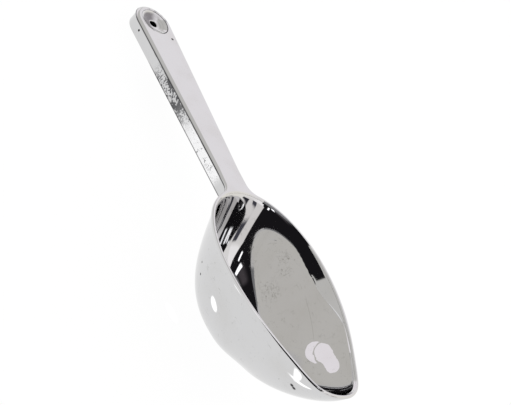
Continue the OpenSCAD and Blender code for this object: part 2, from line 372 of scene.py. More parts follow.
MOUTH_SIZES = {"Mouth Length": MOUTH_LEN, "Mouth Width": MOUTH_W, "Mouth Skew": MOUTH_SKEW,
               "Mouth Draw": MOUTH_DRAW, "Tip Blunt": TIP_BLUNT, "Tip Reach": float(TIP_REACH)}
BOWL_SIZES = {**MOUTH_SIZES, "Deepest X": DEEPEST_X, "Bowl Depth": BOWL_DEPTH, "Bowl Wall": BOWL_WALL,
              "Bowl Floor": BOWL_FLOOR, "Back Power": BACK_POWER, "Side Power": SIDE_POWER,
              "Front Power": FRONT_POWER, "Bottom Power": BOTTOM_POWER, "Back Lip Power": BACK_LIP_POWER,
              "Side Lip Power": SIDE_LIP_POWER, "Front Lip Power": FRONT_LIP_POWER,
              "Inner Fall": INNER_FALL, "Inner Reach": INNER_REACH, "Plate Z": PLATE_Z,
              "Tongue Top": TONGUE_TOP, "Tongue Thickness": TONGUE_T, "Tongue Bevel": LIP_BEVEL,
              "Heel X": HEEL[0], "Heel Z": HEEL[1], "Rest Slope": math.tan(REST_TILT)}


def mouth_edge_tree():
    """The mouth's outline, shifted outwards: x and y for a turn."""
    floats = ["Turn", "Out", *MOUTH_SIZES]
    tree, v, result = new_tree("mouth_edge", [(t, "Float") for t in floats],
                               [("X", "Float"), ("Y", "Float")])
    length, width = v["Mouth Length"], v["Mouth Width"]
    s, c = v["Turn"].sin(), v["Turn"].cos()
    tip = ((1 - c) / 2).at_least(0)
    full = 1 + v["Mouth Skew"] * c - v["Mouth Draw"] * c * c + v["Tip Blunt"] * tip ** v["Tip Reach"]
    slope = (v["Mouth Skew"] - 2 * v["Mouth Draw"] * c
             - v["Tip Blunt"] * v["Tip Reach"] / 2 * tip ** (v["Tip Reach"] - 1))
    along_x, along_y = length / 2 * s, width / 2 * (c * full - s * s * slope)
    pace = (along_x * along_x + along_y * along_y).root()
    x = length / 2 * (1 - c) - v["Out"] * along_y / pace
    y = width / 2 * s * full + v["Out"] * along_x / pace
    tree.links.new(x.socket, result.inputs["X"])
    tree.links.new(y.socket, result.inputs["Y"])
    return tree


def heading_value(back, side, front, c):
    """A value between those of the back, the sides and the front, for the cosine of a heading."""
    return side - (back - front) / 2 * c + ((back + front) / 2 - side) * c * c


def bowl_tree():
    """The bowl: an inner skin, an edge with its tongue, and an outer skin with its foot pressed flat."""
    sizes = [(t, "Float") for t in BOWL_SIZES]
    tree, v, result = new_tree("bowl_shell_rule", sizes + [("Turn Steps", "Int"), ("Skin Steps", "Int"),
                               ("Material", "Material")], [("Geometry", "Geometry")])
    edge_rule = mouth_edge_tree()
    link, new = tree.links.new, tree.nodes.new

    def grid(rows):
        """A flat grid of turns by rows, with its turn and its share of the rows."""
        mesh = new("GeometryNodeMeshGrid")
        mesh.inputs["Size X"].default_value = mesh.inputs["Size Y"].default_value = 1
        link((v["Turn Steps"] + 1).socket, mesh.inputs["Vertices X"])
        if isinstance(rows, Sum):
            link(rows.socket, mesh.inputs["Vertices Y"])
        else:
            mesh.inputs["Vertices Y"].default_value = rows
        place = new("ShaderNodeSeparateXYZ")
        link(new("GeometryNodeInputPosition").outputs[0], place.inputs[0])
        turn = (Sum(tree, place.outputs["X"]) + 0.5) * (2 * math.pi)
        return mesh.outputs["Mesh"], turn, Sum(tree, place.outputs["Y"]) + 0.5

    def edge(turn, out):
        node = new("GeometryNodeGroup")
        node.node_tree = edge_rule
        for title in MOUTH_SIZES:
            link(v[title].socket, node.inputs[title])
        link(turn.socket, node.inputs["Turn"])
        if isinstance(out, Sum):
            link(out.socket, node.inputs["Out"])
        else:
            node.inputs["Out"].default_value = out
        return Sum(tree, node.outputs["X"]), Sum(tree, node.outputs["Y"])

    def placed(mesh, x, y, z):
        spot, moved = new("ShaderNodeCombineXYZ"), new("GeometryNodeSetPosition")
        for axis, value in zip("XYZ", (x, y, z)):
            link(value.socket, spot.inputs[axis])
        link(mesh, moved.inputs["Geometry"])
        link(spot.outputs[0], moved.inputs["Position"])
        return moved.outputs[0]

    def marked(part, value):
        """The part with a value that tells the inner skin from the outer one."""
        mark = new("GeometryNodeStoreNamedAttribute")
        mark.data_type, mark.domain = "FLOAT", "FACE"
        mark.inputs["Name"].default_value = "inner_skin"
        mark.inputs["Value"].default_value = value
        link(part, mark.inputs["Geometry"])
        return mark.outputs["Geometry"]

    def skin(out, edge_z, bottom_z, pressed):
        mesh, turn, row = grid(v["Skin Steps"] + 1)
        edge_x, edge_y = edge(turn, out)
        run = edge_x - v["Deepest X"]
        reach = (run * run + edge_y * edge_y).root()
        c = run / reach
        share = (row * (math.pi / 2)).sin()
        power = heading_value(v["Back Power"], v["Side Power"], v["Front Power"], c)
        power = v["Bottom Power"] + (power - v["Bottom Power"]) * share.root()
        lip_power = heading_value(v["Back Lip Power"], v["Side Lip Power"], v["Front Lip Power"], c)
        drop = (1 - share ** power).at_least(0) ** (1 / lip_power)
        x, y = v["Deepest X"] + share * run, share * edge_y
        z = edge_z + (bottom_z - edge_z) * drop
        if pressed:
            z = z.at_least(v["Heel Z"] - (x - v["Heel X"]) * v["Rest Slope"])
        else:
            z = z.at_most(edge_z - ((1 - share) * reach).at_most(v["Inner Reach"]) * v["Inner Fall"])
        return marked(placed(mesh, x, y, z), 0.0 if pressed else 1.0)

    def strip(out_a, z_a, out_b, z_b):
        mesh, turn, row = grid(2)
        x, y = edge(turn, out_a + (out_b - out_a) * row)
        return placed(mesh, x, y, z_a + (z_b - z_a) * row)

    level = v["Plate Z"] * 0
    plate, top, tongue = v["Plate Z"], v["Tongue Top"], v["Tongue Thickness"]
    bevel, wall_out = v["Tongue Bevel"], v["Bowl Wall"]
    joined = new("GeometryNodeJoinGeometry")
    for part in (skin(level, top - bevel, v["Bowl Floor"] - v["Bowl Depth"], False),
                 strip(level, top - bevel, bevel, top),
                 strip(bevel, top, tongue, top),
                 strip(tongue, top, tongue, plate),
                 strip(tongue, plate, wall_out, plate),
                 skin(wall_out, plate, level - v["Bowl Depth"], True)):
        link(part, joined.inputs[0])
    weld, smooth, real, dressed = (new("GeometryNode" + kind) for kind in (
        "MergeByDistance", "SetShadeSmooth", "RealizeInstances", "SetMaterial"))
    weld.inputs["Distance"].default_value = WELD
    link(v["Material"].socket, dressed.inputs["Material"])
    steps = (joined, weld, smooth, real, dressed, result)
    for before, after in zip(steps, steps[1:]):
        link(before.outputs[0], after.inputs["Geometry"])
    return tree


def grown(tree, name, values):
    """The plain mesh that a tree gives with these inputs."""
    seed = bpy.data.objects.new(name + "_seed", bpy.data.meshes.new(name + "_seed"))
    bpy.context.scene.collection.objects.link(seed)
    modifier = seed.modifiers.new(name, "NODES")
    modifier.node_group = tree
    for item in tree.interface.items_tree:
        if item.in_out == "INPUT":
            modifier[item.identifier] = values[item.name]
    mesh = bpy.data.meshes.new_from_object(seed.evaluated_get(bpy.context.evaluated_depsgraph_get()))
    seed.modifiers.clear()
    bpy.data.objects.remove(seed)
    return mesh


def bowl_shell(material):
    mesh = grown(bowl_tree(), "bowl_shell", {**BOWL_SIZES, "Turn Steps": MOUTH_STEPS,
                                             "Skin Steps": SKIN_STEPS, "Material": material})
    work = bmesh.new()
    work.from_mesh(mesh)
    bmesh.ops.remove_doubles(work, verts=work.verts, dist=WELD)
    bmesh.ops.recalc_face_normals(work, faces=work.faces)
    work.to_mesh(mesh)
    work.free()
    mesh.set_sharp_from_angle(angle=math.radians(40))
    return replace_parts(finish_piece(mesh, "bowl", material), "bowl_shell")


# The frame, the tray, the eyelet and the pins

def rim_frame(material):
    """The lip round the mouth, which falls off to both sides of its crest, and the handle's top plate,
    with rounded edges and the pad that stands inside the tray."""
    shell, outline = Shell(), frame_loop()
    mouth = mouth_loop(0)
    hole = circle(HOLE_X, 0, EYELET_R + FIT_GAP)
    pin = top_pin_circle(PIN_R + PRESS_GAP)
    down, up, away, towards = (0, -1), (0, 1), (-1, 0), (1, 0)
    lip = np.clip(outline[:, 0] / (2 * NECK_SWEEP) + 1, 0, 1)
    tip = np.clip((outline[:, 0] - TIP_START) / TIP_SPAN, 0, 1)
    run = PLATE_ROUND + (LIP_FALL + (TIP_FALL - LIP_FALL) * tip - PLATE_ROUND) * lip
    drop = PLATE_ROUND + (LIP_FALL_DROP + (TIP_FALL_DROP - LIP_FALL_DROP) * tip - PLATE_ROUND) * lip
    turned = PLATE_TURN + (LIP_TURN - PLATE_TURN) * lip + (math.pi / 2 - LIP_TURN) * tip
    outer = edge_rows(run, drop, turned)
    outer += [(0, outer[-1][1], away), (0, PLATE_Z, away)]
    slope = (math.sqrt(0.5), math.sqrt(0.5))
    crest = 2 * LIP_BEVEL + BEVEL_ROUND
    inner = [(-crest, 0, up), (BEVEL_ROUND * 0.3 - crest, -0.09 * BEVEL_ROUND, (0.38, 0.92)),
             (BEVEL_ROUND - crest, -0.4 * BEVEL_ROUND, slope), (-LIP_BEVEL, PLATE_Z + TONGUE_H, slope)]
    rebate = TONGUE_T + FIT_GAP
    wall(shell, outline, outer)
    wall(shell, mouth, inner)
    wall(shell, mouth, [(-LIP_BEVEL, PLATE_Z + TONGUE_H, down), (-rebate, PLATE_Z + TONGUE_H, down)])
    wall(shell, mouth, [(-rebate, PLATE_Z + TONGUE_H, towards), (-rebate, PLATE_Z, towards)])
    pad = cavity_loop(FIT_GAP)
    for loop in (hole, pin):
        wall(shell, loop, [(0, 0, towards), (0, PAD_Z, towards)])
    wall(shell, pad, [(0, PLATE_Z, away), (0, PAD_Z, away)])
    top = outline + (run * np.sin(turned))[:, None] * inward(outline)
    shell.sheet([top, mouth - crest * inward(mouth), hole, pin], 0, 1)
    shell.sheet([outline, mouth - rebate * inward(mouth), pad], PLATE_Z, -1)
    shell.sheet([pad, hole, pin], PAD_Z, -1)
    piece = finish_piece(shell.mesh("rim_frame"), "frame", material)
    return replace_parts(piece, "rim_frame")


def skin_at(turn, z, out):
    """Points on the bowl's outer skin at one height, for an array of turns."""
    points, normals = egg(turn)
    run = points + out * normals - [DEEPEST_X, 0]
    c = run[:, 0] / np.linalg.norm(run, axis=1)
    power = heading_value(BACK_POWER, SIDE_POWER, FRONT_POWER, c)
    lip_power = heading_value(BACK_LIP_POWER, SIDE_LIP_POWER, FRONT_LIP_POWER, c)
    left = 1 - max((z - PLATE_Z) / (-BOWL_DEPTH - PLATE_Z), 0) ** lip_power
    low, high = np.zeros(len(c)), np.ones(len(c))
    for _ in range(HALVINGS):
        share = (low + high) / 2
        short = share ** (BOTTOM_POWER + (power - BOTTOM_POWER) * np.sqrt(share)) < left
        low, high = np.where(short, share, low), np.where(short, high, share)
    return [DEEPEST_X, 0] + high[:, None] * run


def handle_tray(material):
    """The hollow underside of the handle: its side wall, which sweeps out to the bowl at every height,
    its rounded floor and its cavity with the post for the top pin."""
    shell = Shell()
    straight_z = np.linspace(PLATE_Z, -HANDLE_T + TRAY_ROUND, WALL_ROWS)
    rows = [(0, z, 0) for z in straight_z]
    for k in range(1, ROUND_STEPS + 1):
        a = math.pi / 2 * k / ROUND_STEPS
        rows.append((TRAY_ROUND * (1 - math.cos(a)), -HANDLE_T + TRAY_ROUND * (1 - math.sin(a)),
                     k / ROUND_STEPS))
    fade = np.hstack([np.ones(END_STEPS + SIDE_STEPS + 1), np.linspace(1, 0, SWEEP_STEPS + 1) ** 2])
    fade = np.hstack([fade[::-1], fade[1:]])
    sides, seats, into = [], [], []
    for shift, z, _ in rows:
        end = handle_side(TRAY_INSET)
        turn, bend = sweep(lambda t: skin_at(t, z, BOWL_WALL + FIT_GAP), TRAY_INSET)
        side = np.vstack([end, straight(end[-1], bend[0]), bend])
        line = np.vstack([side[::-1] * [1, -1], side[1:]])
        along = np.gradient(line, axis=0)
        normal = np.stack([along[:, 1], -along[:, 0]], -1)
        normal *= np.sign(normal[len(normal) // 2, 0])
        normal /= np.linalg.norm(normal, axis=1)[:, None]
        into.append(normal)
        sides.append(line + shift * fade[:, None] * normal)
        seats.append(skin_at(np.linspace(turn, -turn, SEAT_STEPS + 1), z, BOWL_WALL + FIT_GAP)[1:-1])
    lean = np.array(sides[:WALL_ROWS])
    lean = np.sum(np.gradient(lean, straight_z, axis=0) * np.array(into[:WALL_ROWS]), -1)
    lean = np.arctan(-lean)
    normals = []
    for r, (_, _, share) in enumerate(rows):
        angle = lean[min(r, WALL_ROWS - 1)]
        angle = angle + (math.pi / 2 - angle) * share
        normals.append(np.column_stack([-into[r] * np.cos(angle)[:, None], -np.sin(angle)]))
    shell.band([lift(side, z) for side, (_, z, _) in zip(sides, rows)], normals, closed=False)
    loops = [np.vstack([side, seat]) for side, seat in zip(sides, seats)]
    closing = [np.vstack([side[-1:], seat, side[:1]]) for side, seat in zip(sides, seats)]
    look = np.array(closing[0]) - [-HANDLE_LEN, 0]
    look = np.column_stack([look / np.linalg.norm(look, axis=1)[:, None], np.zeros(len(look))])
    shell.band([lift(line, z) for line, (_, z, _) in zip(closing, rows)], [look] * len(rows),
               closed=False)
    stem = circle(HOLE_X, 0, STEM_R + FIT_GAP)
    cavity = cavity_loop(0)
    bore, post = top_pin_circle(PIN_R + PRESS_GAP), top_pin_circle(PIN_R + POST_WALL)
    bore_z = PAD_Z - TOP_PIN_GRIP
    away, towards = (-1, 0), (1, 0)
    wall(shell, cavity, [(0, PLATE_Z, towards), (0, TRAY_FLOOR_Z, towards)])
    wall(shell, stem, [(0, TRAY_FLOOR_Z, towards), (0, -HANDLE_T, towards)])
    wall(shell, post, [(0, PAD_Z, away), (0, TRAY_FLOOR_Z, away)])
    wall(shell, bore, [(0, PAD_Z, towards), (0, bore_z, towards)])
    shell.sheet([loops[0], cavity], PLATE_Z, 1)
    shell.sheet([cavity, stem, post], TRAY_FLOOR_Z, 1)
    shell.sheet([post, bore], PAD_Z, 1)
    shell.sheet([bore], bore_z, 1)
    shell.sheet([loops[-1], stem], -HANDLE_T, -1)
    piece = finish_piece(shell.mesh("handle_tray"), "tray", material)
    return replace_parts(piece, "handle_tray")


def lathe(shell, profile, steps=LATHE_STEPS):
    """Turns a closed profile of (radius, height, slope normal) about z. A point that is given twice
    with two normals is a hard edge."""
    turn = np.linspace(0, 2 * math.pi, steps, endpoint=False)
    around = np.stack([np.cos(turn), np.sin(turn)], -1)
    for a, b in zip(profile, profile[1:] + profile[:1]):
        if math.dist(a[:2], b[:2]) < WELD:
            continue
        shell.band([lift(around * p[0], p[1]) for p in (a, b)],
                   [np.column_stack([around * p[2][0], np.full(steps, p[2][1])]) for p in (a, b)])


def arc(centre_r, centre_z, radius, start, stop, steps=ROUND_STEPS, look=1):
    """Profile points on an arc, with normals that look away from its centre, or to it."""
    points = []
    for k in range(steps + 1):
        a = math.radians(start + (stop - start) * k / steps)
        points.append((centre_r + radius * math.cos(a), centre_z + radius * math.sin(a),
                       (look * math.cos(a), look * math.sin(a))))
    return points


def hang_eyelet(material):
    """The dished liner of the hang hole."""
    ball_z = DISH_BALL - DISH_DEPTH
    lip_angle = math.degrees(math.asin((HANG_R + HANG_ROUND) / (DISH_BALL + HANG_ROUND)))
    throat_z = ball_z - (DISH_BALL + HANG_ROUND) * math.cos(math.radians(lip_angle))
    dish_stop = math.degrees(math.asin(DISH_R / DISH_BALL))
    up, down, away, towards = (0, 1), (0, -1), (1, 0), (-1, 0)
    profile = [(HANG_R, -HANDLE_T, towards)]
    profile += arc(HANG_R + HANG_ROUND, throat_z, HANG_ROUND, 180, 90 + lip_angle)
    profile += arc(0, ball_z, DISH_BALL, -90 + lip_angle, -90 + dish_stop, DISH_STEPS, -1)
    profile += [(DISH_R, 0, up)]
    profile += arc(EYELET_R - EYELET_ROUND, -EYELET_ROUND, EYELET_ROUND, 90, 0)
    profile += [(EYELET_R, PAD_Z, away), (EYELET_R, PAD_Z, up), (COLLAR_R, PAD_Z, up),
                (COLLAR_R, PAD_Z, away), (COLLAR_R, TRAY_FLOOR_Z, away), (COLLAR_R, TRAY_FLOOR_Z, down),
                (STEM_R, TRAY_FLOOR_Z, down), (STEM_R, TRAY_FLOOR_Z, away), (STEM_R, -HANDLE_T, away),
                (STEM_R, -HANDLE_T, down), (HANG_R, -HANDLE_T, down)]
    shell = Shell()
    lathe(shell, profile)
    mesh = shell.mesh("hang_eyelet")
    mesh.transform(Matrix.Translation((HOLE_X, 0, 0)))
    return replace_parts(finish_piece(mesh, "eyelet", material), "hang_eyelet")


def pin_mesh(name, length):
    """A pin along z, with its domed end at the top and at z = 0."""
    dome = (PIN_R ** 2 + PIN_DOME ** 2) / (2 * PIN_DOME)
    stop = math.degrees(math.asin(PIN_R / dome))
    profile = arc(0, -dome, dome, 90, 90 - stop)
    profile += [(PIN_R, -PIN_DOME, (1, 0)), (PIN_R, -length, (1, 0)), (PIN_R, -length, (0, -1)),
                (0, -length, (0, -1))]
    shell = Shell()
    lathe(shell, profile, PIN_STEPS)
    return shell.mesh(name)


def pins(material):
    top = pin_mesh("top_pin", TOP_PIN_GRIP - PAD_Z)
    top.transform(Matrix.Translation((HOLE_X + TOP_PIN_X, TOP_PIN_Y, 0)))
    reach_in = math.sqrt(COLLAR_R ** 2 - SIDE_PIN_X ** 2) - SIDE_PIN_GRIP
    reach_out = handle_half(HOLE_X + SIDE_PIN_X) - TRAY_INSET
    side = pin_mesh("side_pin", reach_out - reach_in)
    side.transform(Matrix.Translation((HOLE_X + SIDE_PIN_X, -reach_out - PIN_DOME, -SIDE_PIN_Z))
                   @ Matrix.Rotation(math.pi / 2, 4, "X"))
    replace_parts(finish_piece(top, "pin_top", material), "top_pin")
    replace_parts(finish_piece(side, "pin_side", material), "side_pin")


# Finishes. Patterns are placed in the level frame, in millimetres

# The greys for the seams, the handle's end, the dish and the rings round the hole are painted shade and
# painted reflection; the near-white is a painted sheen; the bare dark is worn plating in the flecks and
# painted shade along the tray's lower edge, in the seams and in the eyelet's bore.
PLATING, TARNISH, SHEEN_WHITE = (0.63, 0.63, 0.635, 1), (0.53, 0.52, 0.50, 1), (0.95, 0.95, 0.96, 1)
SCUFFED, RING_SHADE = (0.30, 0.30, 0.28, 1), (0.40, 0.39, 0.40, 1)
SEAM_SHADE, FLAKED, DISH_SHADE = (0.06, 0.06, 0.065, 1), (0.07, 0.07, 0.075, 1), (0.15, 0.14, 0.15, 1)
END_SHADE, DARK_WEAR_AND_SHADE = (0.12, 0.12, 0.125, 1), (0.02, 0.02, 0.022, 1)
PIN_DARK, PIN_GREY = (0.012, 0.012, 0.013, 1), (0.06, 0.06, 0.062, 1)

# Places of wear, of dark spots and of painted shade at the handle's end, each with its reach
SCUFFS = [((18.5, 17, -8.5), 3.5), ((22.5, 17.2, -11), 3.5), ((25.5, 15, -18), 5)]
# Dark spots on the bowl's outer skin: two on its side and two near the tip.
DARK_SPOTS = [((21.8, -16.7, -16.5), 0.6), ((19.3, -17.1, -13.5), 0.5),
         ((70.7, -10.1, -8.0), 0.9), ((71.6, -9.5, -8.4), 0.9)]
END_SHADE_SPOTS = [((-81, 2.6, -0.2), 3.6), ((-78.5, 6.0, -0.4), 3.0)]
SCRATCH_X, SCRATCH_Z, SCRATCH_SLOPE = 35.4, -9.2, 0.18

# The dent: its middle along the bowl and down it, and how it tilts the wall
DENT_X, DENT_Z, DENT_TILT = 59.2, -8.8, (-0.13, 0, 0.31)


def ramp(value, low, high):
    """Goes smoothly from 0 to 1 between two values."""
    node = value.tree.nodes.new("ShaderNodeMapRange")
    node.interpolation_type = "SMOOTHSTEP"
    for title, term in (("Value", value), ("From Min", low), ("From Max", high)):
        if isinstance(term, Sum):
            value.tree.links.new(term.socket, node.inputs[title])
        else:
            node.inputs[title].default_value = term
    return Sum(value.tree, node.outputs[0])


def blend(mask, a, b):
    """A colour between two, as a socket."""
    node = mask.tree.nodes.new("ShaderNodeMix")
    node.data_type = "RGBA"
    slots = [slot for slot in node.inputs if slot.enabled]
    mask.tree.links.new(mask.socket, slots[0])
    for slot, colour in zip(slots[1:], (a, b)):
        if isinstance(colour, tuple):
            slot.default_value = colour
        else:
            mask.tree.links.new(colour, slot)
    return next(slot for slot in node.outputs if slot.enabled)


def noise(place, wave, detail=2.0):
    """Noise round 0.5 with a wavelength, at a place that is a vector."""
    node = place.tree.nodes.new("ShaderNodeTexNoise")
    place.tree.links.new(place.socket, node.inputs["Vector"])
    if isinstance(wave, Sum):
        place.tree.links.new((1 / wave).socket, node.inputs["Scale"])
    else:
        node.inputs["Scale"].default_value = 1 / wave
    node.inputs["Detail"].default_value = detail
    return Sum(place.tree, node.outputs[0])


def pattern_tree(name, numbers, output):
    """A shader node group for a pattern at a place, with number inputs and one output."""
    inputs = [("Place", "Vector")] + [(title, "Float") for title in numbers]
    return new_tree(name, inputs, [(output, "Float")], "ShaderNodeTree")


def ripple_group():
    """Unevenness of a moulded face under its plating: long waves and a fine orange peel, in mm."""
    numbers = ["Long Wave", "Long Height", "Peel Wave", "Peel Height"]
    tree, v, result = pattern_tree("moulded_ripple", numbers, "Height")
    height = ((noise(v["Place"], v["Long Wave"], 1.0) - 0.5) * v["Long Height"]
              + (noise(v["Place"], v["Peel Wave"], 1.0) - 0.5) * v["Peel Height"])
    tree.links.new(height.socket, result.inputs["Height"])
    return tree


def scratch_group():
    """Thin bent scratches, in patches: a mask."""
    tree, v, result = pattern_tree("fine_scratches", ["Spacing", "Amount"], "Mask")
    line = None
    for turn, stretched in (((0.3, 0.9, 0.5), (1, 0.16, 1)), ((1.1, 0.2, -0.6), (0.2, 1, 0.9))):
        lay = tree.nodes.new("ShaderNodeMapping")
        lay.inputs["Rotation"].default_value, lay.inputs["Scale"].default_value = turn, stretched
        tree.links.new(v["Place"].socket, lay.inputs["Vector"])
        wander = noise(Sum(tree, lay.outputs[0]), v["Spacing"] * 0.55, 1.0) - 0.5
        stroke = 1 - ramp(wander.math("ABSOLUTE", wander), 0.004, 0.016)
        line = stroke if line is None else line.at_least(stroke)
    some = ramp(noise(v["Place"], v["Spacing"] * 0.8, 2.0) + v["Amount"], 0.98, 1.06)
    tree.links.new((line * some).socket, result.inputs["Mask"])
    return tree


def fleck_group():
    """Small spots where the plating is gone: a mask."""
    tree, v, result = pattern_tree("plating_flecks", ["Size", "Amount"], "Mask")
    fine = noise(v["Place"], v["Size"], 3.0)
    patchy = noise(v["Place"], v["Size"] * 7, 1.0)
    mask = ramp(fine + (patchy - 0.5) * 0.6 + v["Amount"], 0.98, 1.06)
    tree.links.new(mask.socket, result.inputs["Mask"])
    return tree


def smudge_group():
    """Cloudy handling marks: a mask."""
    tree, v, result = pattern_tree("handling_smudges", ["Wave"], "Mask")
    mask = ramp(noise(v["Place"], v["Wave"], 4.0), 0.42, 0.72)
    tree.links.new(mask.socket, result.inputs["Mask"])
    return tree


RIPPLE, SCRATCHES, FLECKS, SMUDGES = ripple_group(), scratch_group(), fleck_group(), smudge_group()


class Finish:
    """A material with its place in the level frame, and what its pattern groups give."""

    def __init__(self, name):
        self.material = bpy.data.materials.new(name)
        self.material.use_nodes = True
        self.tree = self.material.node_tree
        self.shader = self.tree.nodes["Principled BSDF"]
        self.coordinates = self.tree.nodes.new("ShaderNodeTexCoord")
        level, back = self.tree.nodes.new("ShaderNodeMapping"), LEVEL_TO_REST.inverted()
        level.inputs["Location"].default_value = back.translation / MM
        level.inputs["Rotation"].default_value = back.to_euler()
        level.inputs["Scale"].default_value = (1 / MM, 1 / MM, 1 / MM)
        self.tree.links.new(self.coordinates.outputs["Object"], level.inputs["Vector"])
        self.place = Sum(self.tree, level.outputs[0])
        axes = self.tree.nodes.new("ShaderNodeSeparateXYZ")
        self.tree.links.new(level.outputs[0], axes.inputs[0])
        self.x, self.y, self.z = (Sum(self.tree, axes.outputs[k]) for k in range(3))

    def group(self, tree, **values):
        node = self.tree.nodes.new("ShaderNodeGroup")
        node.node_tree = tree
        self.tree.links.new(self.place.socket, node.inputs["Place"])
        for title, value in values.items():
            node.inputs[title.replace("_", " ")].default_value = value
        return Sum(self.tree, node.outputs[0])

    def spot(self, centre, reach):
        """1 at a place, falling to 0 at a distance from it."""
        node = self.tree.nodes.new("ShaderNodeVectorMath")
        node.operation = "DISTANCE"
        self.tree.links.new(self.place.socket, node.inputs[0])
        node.inputs[1].default_value = centre
        return 1 - ramp(Sum(self.tree, node.outputs["Value"]), reach * 0.4, reach)

    def spots(self, places):
        """The most of several spots, from their places and reaches."""
        first, *others = (self.spot(*place) for place in places)
        for other in others:
            first = first.at_least(other)
        return first

    def attribute(self, name):
        node = self.tree.nodes.new("ShaderNodeAttribute")
        node.attribute_name = name
        return Sum(self.tree, node.outputs["Fac"])

    def link(self, value, title):
        socket = value.socket if isinstance(value, Sum) else value
        self.tree.links.new(socket, self.shader.inputs[title])

    def facet(self, mask, tilt):
        """The surface's normal, tilted in the level frame where the mask is 1."""
        steps = [self.tree.nodes.new("ShaderNodeVectorMath") for _ in range(3)]
        for node, operation in zip(steps, ("SCALE", "ADD", "MULTIPLY_ADD")):
            node.operation = operation
        steps[0].inputs[0].default_value = LEVEL_TO_REST.to_3x3() @ Vector(tilt)
        self.tree.links.new(mask.socket, steps[0].inputs["Scale"])
        self.tree.links.new(self.coordinates.outputs["Normal"], steps[1].inputs[0])
        self.tree.links.new(steps[0].outputs[0], steps[1].inputs[1])
        self.tree.links.new(steps[1].outputs[0], steps[2].inputs[0])
        steps[2].inputs[1].default_value = steps[2].inputs[2].default_value = (0.5, 0.5, 0.5)
        normal = self.tree.nodes.new("ShaderNodeNormalMap")
        normal.space = "OBJECT"
        self.tree.links.new(steps[2].outputs[0], normal.inputs["Color"])
        return normal.outputs[0]

    def bump(self, height, normal=None):
        """Tilts the surface by a height in mm."""
        node = self.tree.nodes.new("ShaderNodeBump")
        node.inputs["Strength"].default_value = 1
        node.inputs["Distance"].default_value = MM
        self.tree.links.new(height.socket, node.inputs["Height"])
        if normal:
            self.tree.links.new(normal, node.inputs["Normal"])
        self.link(node.outputs["Normal"], "Normal")


def bowl_plating():
    """Bright plating, scuffed inside, with a shallow dent in the right wall near the tip."""
    f = Finish("bowl_plating")
    inside = f.attribute("inner_skin")
    smudge = f.group(SMUDGES, Wave=16.0)
    scratches = f.group(SCRATCHES, Spacing=3.2, Amount=0.42)
    scuffs = f.spots(SCUFFS) * f.group(SCRATCHES, Spacing=1.5, Amount=0.62)
    right_wall = ramp(f.y, 4, 8)
    drop = f.z - SCRATCH_Z + (f.x - SCRATCH_X) * SCRATCH_SLOPE
    long_scratch = (1 - ramp(drop.math("ABSOLUTE", drop), 0.05, 0.13)) * right_wall
    long_scratch = long_scratch * ramp(f.x, 33, 36) * (1 - ramp(f.x, 48, 51))
    flecks = f.group(FLECKS, Size=0.5, Amount=0.15).at_least(f.spots(DARK_SPOTS)) * (1 - inside)
    colour = blend(smudge * 0.25, PLATING, TARNISH)
    scraped = (scuffs * 0.8).at_least(scratches * 0.3).at_least(long_scratch * 0.35)
    colour = blend(scraped, colour, SCUFFED)
    colour = blend(flecks, colour, DARK_WEAR_AND_SHADE)
    f.link(colour, "Base Color")
    f.shader.inputs["Metallic"].default_value = 1
    f.link(0.025 + smudge * 0.03 + scratches * 0.08 + flecks * 0.3, "Roughness")
    across = (f.x - DENT_X) * 0.391 + (f.z - DENT_Z) * 2.83
    along = (f.x - DENT_X) * 2.49 - (f.z - DENT_Z) * 1.71
    uneven = (noise(f.place, 2.2, 1.0) - 0.5) * 0.3

    def lobe(u, v, size):
        """A rounded part of the dent, 1 at its edge and more inside."""
        away = (across - u) * (across - u) + (along - v) * (along - v)
        return size * size / away.at_least(0.01) + uneven

    main, side = lobe(-3.6, -6.6, 8.6) + lobe(5.4, 6.8, 6.6), lobe(-10.5, -6.5, 11.0)
    mark = ramp(main, 0.97, 1.04).at_least(ramp(side, 1.0, 1.12) * (1 - ramp(main, 0.76, 0.86)))
    mark = mark * inside * right_wall
    ripple = f.group(RIPPLE, Long_Wave=13.0, Long_Height=0.012, Peel_Wave=1.6, Peel_Height=0.0003)
    f.bump(ripple, f.facet(mark, DENT_TILT))
    return f.material


def frame_plating():
    """Bright plating on the lip and the handle's top, with light smudges, a few scratches, painted shade
    in the seam along the handle and painted shade at its end, next to the dish."""
    f = Finish("frame_plating")
    smudge = f.group(SMUDGES, Wave=11.0)
    scratches = f.group(SCRATCHES, Spacing=4.0, Amount=0.36)
    flecks = f.group(FLECKS, Size=0.35, Amount=0.19)
    # Painted shade: the plate's lower edge along the handle is darkened where the seam to the tray lies.
    seam = (1 - ramp(f.z, -0.78, -0.5)) * (1 - ramp(f.x, -1, 3))
    # Painted shade: dark patches on the plate's top at the handle's end, next to the dish.
    end_shade = f.spots(END_SHADE_SPOTS) * f.group(SMUDGES, Wave=1.8)
    colour = blend(flecks, blend(smudge * 0.3, PLATING, TARNISH), DARK_WEAR_AND_SHADE)
    colour = blend(end_shade * 0.9, colour, END_SHADE)
    f.link(blend(seam * 0.9, colour, SEAM_SHADE), "Base Color")
    f.shader.inputs["Metallic"].default_value = 1
    f.link(0.03 + smudge * 0.05 + scratches * 0.1, "Roughness")
    ripple = f.group(RIPPLE, Long_Wave=9.0, Long_Height=0.006, Peel_Wave=1.2, Peel_Height=0.0005)
    f.bump(ripple - scratches * 0.002)
    return f.material


